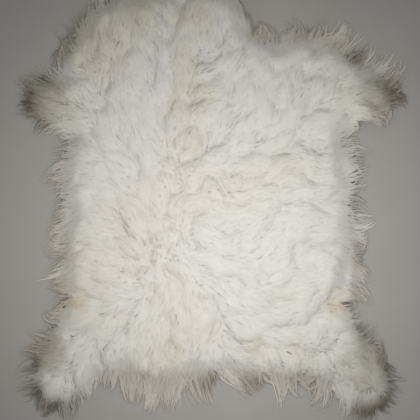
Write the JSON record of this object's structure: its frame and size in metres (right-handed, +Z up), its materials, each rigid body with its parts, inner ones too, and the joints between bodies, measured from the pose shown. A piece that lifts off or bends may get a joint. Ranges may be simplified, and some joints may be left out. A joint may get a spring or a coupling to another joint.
{
  "type": "long-haired pelt rug",
  "caption": "Whole white long-haired hide rug laid flat, skin side down, with neck, leg lobes and loose guard hair hanging past its edges.",
  "frame": {"origin": "on the floor plane, under the middle of the rug's outline", "axes": "+Z up out of the hair side, +Y towards the neck, +X towards the right of the rug seen from above with the neck up"},
  "size_m": [0.7493, 0.8762, 0.042],
  "materials": {
    "tanned_skin": "matte",
    "down": "matte",
    "guard_hair": "satin"
  },
  "bodies": {
    "root": {"hide": "tanned_skin", "undercoat": "down", "neck_hair": "guard_hair", "withers_hair": "guard_hair", "left_shoulder_hair": "guard_hair", "right_shoulder_hair": "guard_hair", "left_foreleg_hair": "guard_hair", "right_foreleg_hair": "guard_hair", "back_hair": "guard_hair", "left_flank_hair": "guard_hair", "right_flank_hair": "guard_hair", "rump_hair": "guard_hair", "left_hind_leg_hair": "guard_hair", "right_hind_leg_hair": "guard_hair", "tail_hair": "guard_hair"}
  },
  "joints": []
}
